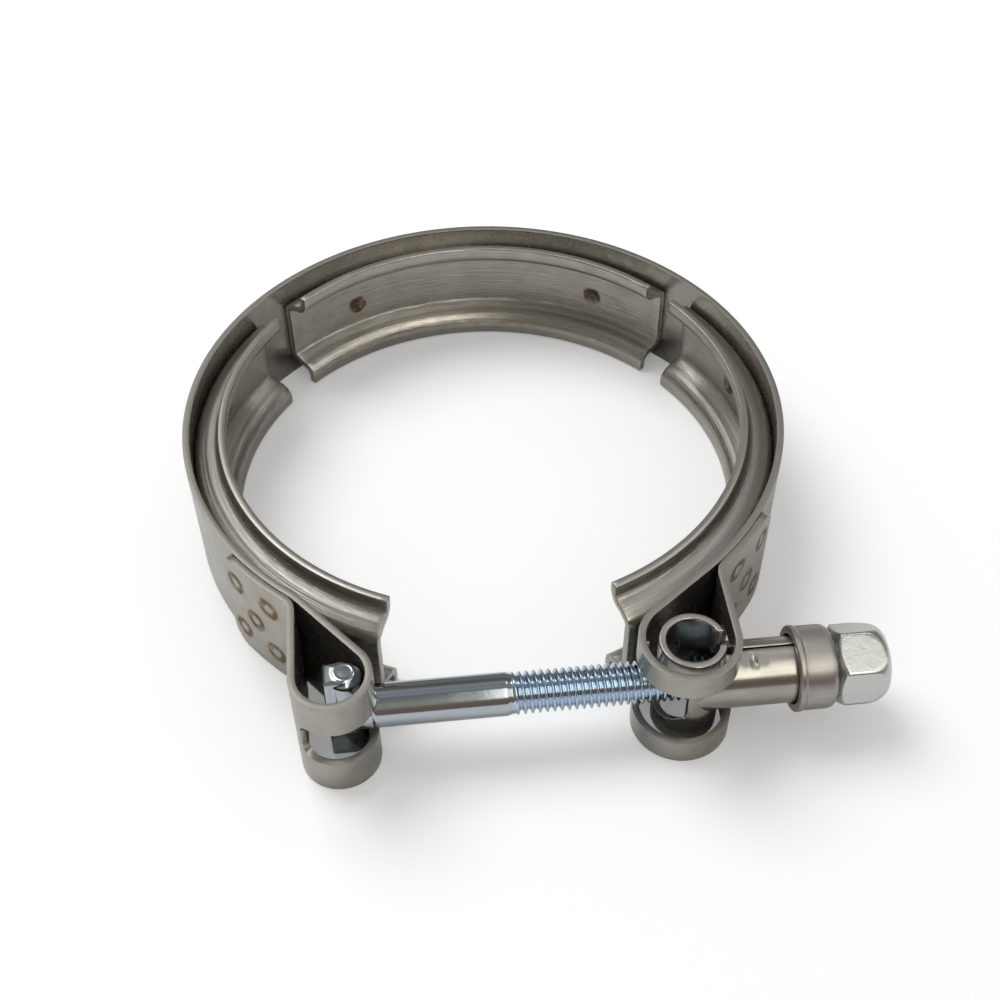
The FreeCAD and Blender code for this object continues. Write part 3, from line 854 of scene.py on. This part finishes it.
def head_distance(x, y, z):
    """Below zero inside the forged head: a chamfered bar, its flat back and the shank's root."""
    around = np.hypot(x, y)
    high = np.abs(z)
    bar = soft_max(around - head_radius, high - head_half_height, head_edge_blend)
    edge = (around + high - head_radius - head_half_height + head_chamfer) / math.sqrt(2.0)
    bar = soft_max(bar, edge, head_edge_blend)
    sides = np.abs(y) - head_flat_width / 2
    back = soft_max(sides, -x - head_radius - head_flat_height, head_flat_blend)
    back = soft_max(back, high - head_half_height + head_flat_top_step, head_edge_blend)
    back = np.maximum(back, x)
    along = np.minimum(x - head_blend_offset, 0.0)
    root = np.sqrt(along ** 2 + y ** 2 + z ** 2) - shank_radius
    body = soft_min(soft_min(bar, back, head_bar_blend), root, head_root_blend)
    return np.maximum(body, x - shank_cut)


def head_mesh():
    """Rays from the bar's axis, each followed to the surface by halving.

    A row's rays start on the axis at height o and rise at angle p, so that they meet the bar at
    height o + R tan p: straight out along the bar, fanned from its middle over the shank.
    """
    target = sampled(head_row_spans, [head_half_height])
    fan = np.arctan2(target, head_radius)
    rise = fan * (1.0 - smooth_step((target - head_fan_start) / head_fan_blend))
    origin = target - head_radius * np.tan(rise)
    rise = np.concatenate([-rise[:0:-1], rise])
    origin = np.concatenate([-origin[:0:-1], origin])
    turn = full_turn(120)
    near = np.zeros((len(rise), len(turn)))
    far = np.full_like(near, head_reach)
    level, climb = np.cos(rise)[:, None], np.sin(rise)[:, None]
    for _ in range(head_halvings):
        reach = (near + far) / 2
        x, y = reach * level * np.cos(turn), reach * level * np.sin(turn)
        outside = head_distance(x, y, origin[:, None] + reach * climb) > 0.0
        far = np.where(outside, reach, far)
        near = np.where(outside, near, reach)
    x, y = near * level * np.cos(turn) + head_x, near * level * np.sin(turn) + bolt_axis_y
    sides = as_grid(x, y, origin[:, None] + near * climb)
    axis = np.array([head_x, bolt_axis_y, 0.0])
    rings = []
    for share in (0.0, 0.35, 0.7, 0.92):
        ring = axis + (sides[-1] - axis) * np.array([share, share, 1.0])
        ring[:, 2] = head_half_height - head_cap_dome * share
        rings.append(ring)
    top = np.stack(rings[::-1])
    bottom = np.stack(rings) * np.array([1.0, 1.0, -1.0])
    return merged(surface("bolt_head", np.vstack([bottom, sides, top]), close_columns=True))


def thread_wave(phase):
    """Depth of the thread, 0 at the crest and 1 at the root, over one pitch of phase 0 to 1.

    At distance d from the root, of 0 to 1, the flank has risen by f = (d - flat) / width, held
    between 0 and 1, and rounded a little where it meets the root's and the crest's flats.
    """
    from_root = np.abs(2.0 * (phase % 1.0) - 1.0)
    flank = np.clip((from_root - root_flat) / flank_width, 0.0, 1.0)
    return 1.0 - smooth_step(flank) * flank_rounding - flank * (1.0 - flank_rounding)


def shank_mesh():
    """Radius r(x, a) about the bolt's axis: the shank, its taper, then crest - depth * wave.

    The wave's phase is (x - start) / pitch - a / 2 pi, which is a right-hand thread.
    """
    neck_x = thread_start_x - thread_run_out
    start_x = head_x + shank_cut - shank_overlap
    spans = (
        (start_x, neck_x - neck_lead, shank_step), (neck_x - neck_lead, thread_start_x, neck_step),
        (thread_start_x, bolt_end_x, thread_step),
    )
    stations = sampled(spans, [bolt_end_x])
    turn = full_turn(64)
    phase = (stations[:, None] - thread_start_x) / thread_pitch - turn / (2 * math.pi)
    fade = (stations - thread_start_x + thread_fade_lead) / thread_fade_length
    fade = np.clip(fade, 0.0, 1.0)[:, None]
    threaded = thread_radius - thread_depth * fade * thread_wave(phase)
    plain = shank_radius - neck_depth * smooth_step((stations - neck_x) / thread_run_out)
    radius = np.where((stations > thread_start_x)[:, None], threaded, plain[:, None])
    end_chamfer = thread_radius - bolt_end_chamfer + (bolt_end_x - stations)
    grid = about_bolt(stations, np.minimum(radius, end_chamfer[:, None]), turn)
    caps = []
    for row in (grid[0], grid[-1]):
        middle = np.array([row[0, 0], bolt_axis_y, 0.0])
        caps.append(np.stack([middle + (row - middle) * share for share in (0.0, 0.6)]))
    grid = np.vstack([caps[0], grid, caps[1][::-1]])
    return merged(surface("bolt_shank", grid, close_columns=True))


def plated_steel(name, colour, worn_colour, roughness, patch_size, bump, thread_sheen_colour=None):
    """Bright zinc plate, clouded a little, with fine pits and rubbed spots.

    The thread may have a paler, bluer colour of its own: a painted reflection of the light along
    its crests.
    """
    material, shading = new_material(name)
    vector = in_millimetres(shading, shading.add("ShaderNodeTexCoord").outputs["Object"])
    clouds = shading.noise(vector, 1.0 / patch_size, 4.0, 0.6)
    specks = shading.noise(vector, 4.0, 3.0, 0.7)
    rubbed = shading.times(shading.ramp(specks, 0.56, 0.72), shading.ramp(clouds, 0.4, 0.6))
    tone = shading.mix(rubbed, colour, worn_colour)
    # Painted reflection: the thread is tinted paler and bluer to stand in for the light its crests
    # reflect.
    if thread_sheen_colour:
        along = shading.add("ShaderNodeSeparateXYZ", Vector=vector).outputs["X"]
        thread_sheen_share = shading.ramp(along, thread_start_x - 0.5, thread_start_x + 0.5)
        tone = shading.mix(thread_sheen_share, tone, thread_sheen_colour)
    rough = shading.plus(roughness - 0.06, shading.times(clouds, 0.12))
    height = shading.plus(shading.times(specks, 0.4), shading.times(clouds, 2.0))
    metal_surface(
        shading, tone, rough, metallic=1.0, strength=bump, distance=5e-5, height=height
    )
    return material


bolt_zinc = plated_steel(
    "bolt_plate", bolt_colour, bolt_worn_colour, roughness=0.10, patch_size=3.5, bump=0.07,
    thread_sheen_colour=bolt_thread_painted_sheen,
)
bolt_pieces = [add_piece("bolt_head", head_mesh()), add_piece("bolt_shank", shank_mesh())]
for piece in bolt_pieces:
    piece.data.materials.append(bolt_zinc)
    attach(piece, "bolt")
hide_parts("t_bolt")

# Trunnion: one stainless sheet, 1 mm thick, rolled into an upright open eye that turns in the
# right loop, and into a stem that the bolt runs through. The press leaves a fold at its root.
trunnion_voxel = 0.14
trunnion_smoothing = 3
seam_turn = math.radians(10.0)
seam_half_gap = 0.22
seam_start_x = 27.0
seam_wall_least = 0.1
seam_outward_least = 3.0
crumple_x = 31.9
crumple_half_length = 1.3
crumple_angle = 16.0
crumple_half_angle = 11.0
crumple_pitch = 1.5
crumple_depth = 0.26
trunnion_colour = [0.43, 0.41, 0.37, 1.0]
trunnion_edge_colour = [0.50, 0.475, 0.43, 1.0]


def open_seam(piece):
    """Moves the seam's walls out from 0.125 mm to the shown half gap, square to the seam.

    The seams lie above and below the bolt, turned back, so with a = the seam's turn a point is
    (y - y0) cos a - |z| sin a beside the seam and (y - y0) sin a + |z| cos a from the bolt.
    """
    points = points_of(piece)
    sine, cosine = math.sin(seam_turn), math.cos(seam_turn)
    across = points[:, 1] - bolt_axis_y
    beside = across * cosine - np.abs(points[:, 2]) * sine
    outward = across * sine + np.abs(points[:, 2]) * cosine
    wall = (np.abs(beside) > seam_wall_least) & (np.abs(beside) < seam_half_gap)
    wall &= (outward > seam_outward_least) & (points[:, 0] > seam_start_x)
    step = np.where(wall, np.sign(beside) * (seam_half_gap - np.abs(beside)), 0.0)
    points[:, 1] += step * cosine
    points[:, 2] -= step * sine * np.sign(points[:, 2])
    move_points(piece, points)


def crumple_root(piece):
    """Presses a shallow crumple into the stem beside its seam's root, on the seam's front side.

    Depth = d exp(-((x - x0) / w)^2 - ((a - a0) / b)^2) (1 + cos(2 pi (x - x0) / p) / 2), where a
    is the angle round the bolt from straight up towards the front.
    """
    points = points_of(piece)
    across, up = bolt_axis_y - points[:, 1], points[:, 2]
    radius = np.hypot(across, up)
    beside = (np.degrees(np.arctan2(across, np.abs(up))) - crumple_angle) / crumple_half_angle
    along = points[:, 0] - crumple_x
    depth = np.exp(-(along / crumple_half_length) ** 2 - beside ** 2)
    depth *= crumple_depth * (1.0 + 0.5 * np.cos(2 * math.pi * along / crumple_pitch))
    depth[points[:, 0] < crumple_x - 3.0 * crumple_half_length] = 0.0
    share = 1.0 - depth / radius
    points[:, 1] = bolt_axis_y - across * share
    points[:, 2] = up * share
    move_points(piece, points)


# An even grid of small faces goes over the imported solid's own surface, joined up.
trunnion = add_piece("trunnion_sheet", merged(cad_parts["trunnion"].data.copy()))
open_seam(trunnion)
remesh = trunnion.modifiers.new("even_faces", "REMESH")
remesh.mode = "VOXEL"
remesh.voxel_size = trunnion_voxel * 0.001
smooth = trunnion.modifiers.new("pressed_edges", "SMOOTH")
smooth.factor = 0.5
smooth.iterations = trunnion_smoothing
trunnion = finished(trunnion)
crumple_root(trunnion)
trunnion.data.materials.clear()
trunnion.data.materials.append(
    sheet_steel("trunnion_sheet", trunnion_colour, trunnion_edge_colour, roughness=0.20)
)
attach(trunnion, "swivel")
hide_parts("trunnion")

# Thrust cup: pressed from stainless sheet over the stem's end, with a beaded rim and a rounded
# shoulder. The nut bears on its floor.
cup_start_x = 37.6
cup_end_x = 43.1
cup_inner_radius = 4.9
cup_outer_radius = 5.8
cup_shoulder_radius = 1.4
cup_bead_height = 0.15
cup_floor = 1.0
cup_hole_radius = 3.2
cup_colour = [0.42, 0.395, 0.37, 1.0]
cup_edge_colour = [0.50, 0.475, 0.45, 1.0]


def bezier(first, corner, last, count):
    """Points (1 - s)^2 first + 2 s (1 - s) corner + s^2 last at even shares s."""
    share = np.linspace(0.0, 1.0, count)[:, None]
    return (1 - share) ** 2 * first + 2 * share * (1 - share) * corner + share ** 2 * last


def rounded_profile(corners):
    """Closed or open line through corners (x, radius, corner radius), its corners rounded.

    Each corner is replaced by a Bezier arc between the points that lie its radius away.
    """
    corners = np.array(corners)
    line = [corners[0, :2]]
    for before, here, after in zip(corners, corners[1:], corners[2:]):
        back = before[:2] - here[:2]
        on = after[:2] - here[:2]
        reach = min(here[2], 0.49 * np.hypot(*back), 0.49 * np.hypot(*on))
        first = here[:2] + back / np.hypot(*back) * reach
        last = here[:2] + on / np.hypot(*on) * reach
        line += list(bezier(first, here[:2], last, 7 if here[2] > 0.3 else 4))
    line.append(corners[-1, :2])
    return np.array(line)


def turned_mesh(name, profile, columns):
    """Profile (x, radius) turned about the bolt's axis: (x, y0 + r cos a, r sin a)."""
    grid = about_bolt(profile[:, 0], profile[:, 1:], full_turn(columns))
    return merged(surface(name, grid, close_rows=True, close_columns=True))


cup_profile = rounded_profile([
    (cup_start_x + 0.3, cup_inner_radius, 0.0),
    (cup_start_x, cup_inner_radius, 0.12),
    (cup_start_x, cup_outer_radius + cup_bead_height, 0.35),
    (cup_start_x + 0.78, cup_outer_radius + cup_bead_height, 0.35),
    (cup_start_x + 1.0, cup_outer_radius - 0.04, 0.2),
    (cup_start_x + 1.3, cup_outer_radius, 0.2),
    (cup_end_x, cup_outer_radius, cup_shoulder_radius),
    (cup_end_x, cup_hole_radius, 0.15),
    (cup_end_x - cup_floor, cup_hole_radius, 0.15),
    (cup_end_x - cup_floor, cup_inner_radius, 0.2),
    (cup_start_x + 0.5, cup_inner_radius, 0.0),
])
cup = add_piece("pressed_cup", turned_mesh("pressed_cup", cup_profile, 96))
cup.data.materials.append(
    sheet_steel("cup_sheet", cup_colour, cup_edge_colour, roughness=0.32)
)
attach(cup, "swivel")
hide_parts("thrust_cup")

# Lock nut: M6 hexagon nut, 10 mm across flats, bright zinc plated, with a rolled-over collar that
# holds a nylon ring, which grips the thread.
nut_start_x = 43.15
nut_hex_end_x = 49.05
nut_end_x = 50.65
nut_flat_radius = 5.0
nut_turning_radius = 5.92
nut_seat_radius = 4.3
nut_bore_radius = 2.99
nut_lip_radius = 3.35
nut_end_radius = 3.9
nut_facet_angle = 69.0
nut_seat_slope = math.radians(36)
nut_dome_start_x = nut_hex_end_x - 2.3
nut_edge_softness = 0.12
nut_collar_depth = 0.5
nut_colour = [0.62, 0.63, 0.61, 1.0]
nut_worn_colour = [0.80, 0.80, 0.77, 1.0]
ring_radius = 3.9
ring_start_x = 48.43
ring_length = 1.7
ring_colour = [0.80, 0.80, 0.76, 1.0]
ring_dull_colour = [0.68, 0.67, 0.62, 1.0]


def hexagon_radius(turn):
    """Distance of the hexagon's side at each angle: flat / cos(angle to the facet's middle)."""
    from_middle = (turn + math.pi / 6) % (math.pi / 3) - math.pi / 6
    return nut_flat_radius / np.cos(from_middle)


def nut_mesh():
    """Turned profile held inside the hexagon: r(x, a) is the soft smaller of the two.

    The profile is a chamfered seat, a straight side and a domed collar, and comes back along the
    collar's hollow and the bore.
    """
    seat_height = (nut_turning_radius - nut_seat_radius) * math.tan(nut_seat_slope)
    start = np.array([nut_start_x, nut_seat_radius])
    seat_end = np.array([nut_start_x + seat_height, nut_turning_radius])
    side = spread(seat_end[0] + 0.1, nut_dome_start_x, 0.3)
    dome_corner = (nut_end_x - 0.35, nut_turning_radius - 0.45)
    dome_end = (nut_end_x, nut_end_radius - 0.1)
    outer = np.vstack([
        start + (seat_end - start) * np.linspace(0.0, 1.0, 12)[:, None],
        np.stack([side, np.full_like(side, nut_turning_radius)], axis=1),
        bezier((nut_dome_start_x, nut_turning_radius), dome_corner, dome_end, 22),
    ])
    hollow_x = nut_end_x - nut_collar_depth
    inner = rounded_profile([
        (nut_end_x, nut_end_radius - 0.15, 0.0),
        (nut_end_x, nut_lip_radius, 0.2),
        (hollow_x, nut_lip_radius, 0.05),
        (hollow_x, ring_radius + 0.02, 0.05),
        (ring_start_x - 0.02, ring_radius + 0.02, 0.05),
        (ring_start_x - 0.02, nut_bore_radius, 0.1),
        (nut_start_x, nut_bore_radius, 0.2),
        (nut_start_x, nut_seat_radius - 0.05, 0.0),
    ])
    facet_turn = math.radians(nut_facet_angle)
    turn = full_turn(6 * 18) + facet_turn
    hexagon = hexagon_radius(turn - facet_turn)[None, :]
    outer_radius = soft_min(outer[:, 1:], hexagon, nut_edge_softness)
    radius = np.vstack([outer_radius, np.repeat(inner[:, 1:], len(turn), axis=1)])
    grid = about_bolt(np.concatenate([outer[:, 0], inner[:, 0]]), -radius, -turn)
    return merged(surface("nut", grid, close_rows=True, close_columns=True))


nut = add_piece("hexagon_nut", nut_mesh())
nylon_profile = rounded_profile([
    (ring_start_x + 0.3, nut_bore_radius, 0.0),
    (ring_start_x, nut_bore_radius, 0.2),
    (ring_start_x, ring_radius, 0.1),
    (ring_start_x + ring_length, ring_radius, 0.1),
    (ring_start_x + ring_length, nut_bore_radius, 0.25),
    (ring_start_x + 0.6, nut_bore_radius, 0.0),
])
nylon = add_piece("nylon_ring", turned_mesh("nylon_ring", nylon_profile, 64))
nut_zinc = plated_steel(
    "nut_plate", nut_colour, nut_worn_colour, roughness=0.26, patch_size=1.6, bump=0.25
)
nut.data.materials.append(nut_zinc)
ring_nylon, ring_shading = new_material("ring_nylon")
ring_place = ring_shading.add("ShaderNodeTexCoord").outputs["Object"]
ring_clouds = ring_shading.noise(ring_place, 900.0, 3.0)
ring_shade = ring_shading.add(
    "ShaderNodeBsdfPrincipled", Roughness=0.5, Subsurface_Weight=0.2,
    Base_Color=ring_shading.mix(ring_clouds, ring_colour, ring_dull_colour),
)
ring_shading.add("ShaderNodeOutputMaterial", Surface=ring_shade.outputs[0])
nylon.data.materials.append(ring_nylon)
for piece, node, finish in ((nut, "lock_nut", "nut_zinc"), (nylon, "lock_ring", "ring_nylon")):
    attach(piece, "nut")
    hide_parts(node)

# Studio: a plain pale floor under the strap's lower edge, a white surround and one soft lamp. The
# floor is matt board; to the camera it adds a little white, so that it meets the backdrop.
floor_height = -9.42
floor_half_size = 1500.0
floor_corners = np.array([[[x, y, floor_height] for x in (-1.0, 1.0)] for y in (-1.0, 1.0)])
floor_corners[..., :2] *= floor_half_size
floor = add_piece("floor", surface("floor", floor_corners))
pale_board, board_shading = new_material("pale_board")
board = board_shading.add("ShaderNodeBsdfDiffuse", Color=[0.86, 0.86, 0.86, 1.0])
seen = board_shading.add("ShaderNodeLightPath").outputs["Is Camera Ray"]
whiteness = board_shading.times(seen, 0.22)
white = board_shading.add("ShaderNodeEmission", Color=[1.0, 1.0, 1.0, 1.0], Strength=whiteness)
both = board_shading.add("ShaderNodeAddShader", _0=board.outputs[0], _1=white.outputs[0])
board_shading.add("ShaderNodeOutputMaterial", Surface=both.outputs[0])
floor.data.materials.append(pale_board)

# The surround is plain white to the camera. In metal it is a room whose tone goes with the angle
# about X, from the horizon behind (0) over the top (0.5) to the horizon in front (1): dim, a
# little brown in front, with soft bright panels that give the steel its highlights.
world = bpy.data.worlds.new("studio")
world.use_nodes = True
bpy.context.scene.world = world
room = Shading(world.node_tree)
room_direction = room.add("ShaderNodeTexCoord").outputs["Generated"]
room_x, room_y, room_z = room.add("ShaderNodeSeparateXYZ", Vector=room_direction).outputs
room_share = room.math("DIVIDE", room.math("ARCTAN2", room_z, room_y), math.pi)
room_tone = room.add("ShaderNodeValToRGB", _0=room_share).outputs[0]
room_ramp = room_tone.node.color_ramp
room_ramp.elements[0].color = (0.30, 0.30, 0.29, 1.0)
room_ramp.elements[1].color = (0.20, 0.15, 0.13, 1.0)
for place, tone in (
    (0.22, (0.13, 0.13, 0.12)), (0.28, (0.20, 0.20, 0.19)), (0.32, (0.36, 0.37, 0.38)),
    (0.40, (0.28, 0.28, 0.30)), (0.46, (0.34, 0.35, 0.37)), (0.53, (0.20, 0.20, 0.22)),
    (0.62, (0.22, 0.22, 0.22)), (0.70, (0.32, 0.33, 0.26)), (0.80, (0.32, 0.30, 0.22)),
    (0.88, (0.20, 0.15, 0.13)),
):
    room_ramp.elements.new(place).color = (*tone, 1.0)


def soft_panel(left, right, near, far, side_edge, angle_edge):
    """Share of a bright panel: 1 between its sides along X and between its two angles."""
    share = 1.0
    for value, start, edge, side in (
        (room_x, left, side_edge, 1), (room_x, right, side_edge, -1),
        (room_share, near, angle_edge, 1), (room_share, far, angle_edge, -1),
    ):
        lift = room.ramp(value, start - edge / 2, start + edge / 2, (1 - side) / 2, (1 + side) / 2)
        share = room.times(share, lift)
    return share


# Each panel: its sides along X, its angles, how soft its edges are in both, and its colour.
for sides, angles, edges, colour in (
    ((0.056, 1.10), (0.54, 0.80), (0.012, 0.04), (1.30, 1.28, 1.20)),
    ((0.056, 0.30), (0.54, 0.80), (0.012, 0.04), (2.80, 2.72, 2.50)),
    ((-0.75, -0.30), (0.18, 0.46), (0.12, 0.12), (0.55, 0.55, 0.535)),
    ((-0.36, -0.12), (0.30, 0.39), (0.08, 0.03), (5.40, 5.30, 5.15)),
    ((-0.42, -0.27), (0.20, 0.30), (0.06, 0.04), (1.80, 1.77, 1.70)),
    ((0.28, 0.43), (0.32, 0.38), (0.05, 0.03), (3.60, 3.55, 3.45)),
):
    room_tone = room.mix(soft_panel(*sides, *angles, *edges), room_tone, [*colour, 1.0])
rays = room.add("ShaderNodeLightPath").outputs
plain_light = room.add("ShaderNodeBackground", Color=[0.80, 0.80, 0.80, 1.0], Strength=0.62)
reflected = room.add("ShaderNodeBackground", Color=room_tone, Strength=1.0)
backdrop = room.add("ShaderNodeBackground", Color=[1.0, 1.0, 1.0, 1.0], Strength=1.0)
shown = plain_light
for ray, light in (("Is Glossy Ray", reflected), ("Is Camera Ray", backdrop)):
    shown = room.add("ShaderNodeMixShader", _0=rays[ray], _1=shown.outputs[0], _2=light.outputs[0])
room.add("ShaderNodeOutputWorld", Surface=shown.outputs[0])

# The lamp is a round soft box behind the ring on the left, turned to the ring's centre.
lamp_data = bpy.data.lights.new("key_lamp", "AREA")
lamp_data.shape = "DISK"
lamp_data.size = 0.85
lamp_data.energy = 9.0
lamp = add_object("key_lamp", lamp_data)
lamp.location = (-0.45, 0.50, 1.00)
lamp.rotation_euler = lamp.location.to_track_quat("Z", "Y").to_euler()
lamp.visible_glossy = False

bpy.context.scene.view_settings.view_transform = "Standard"
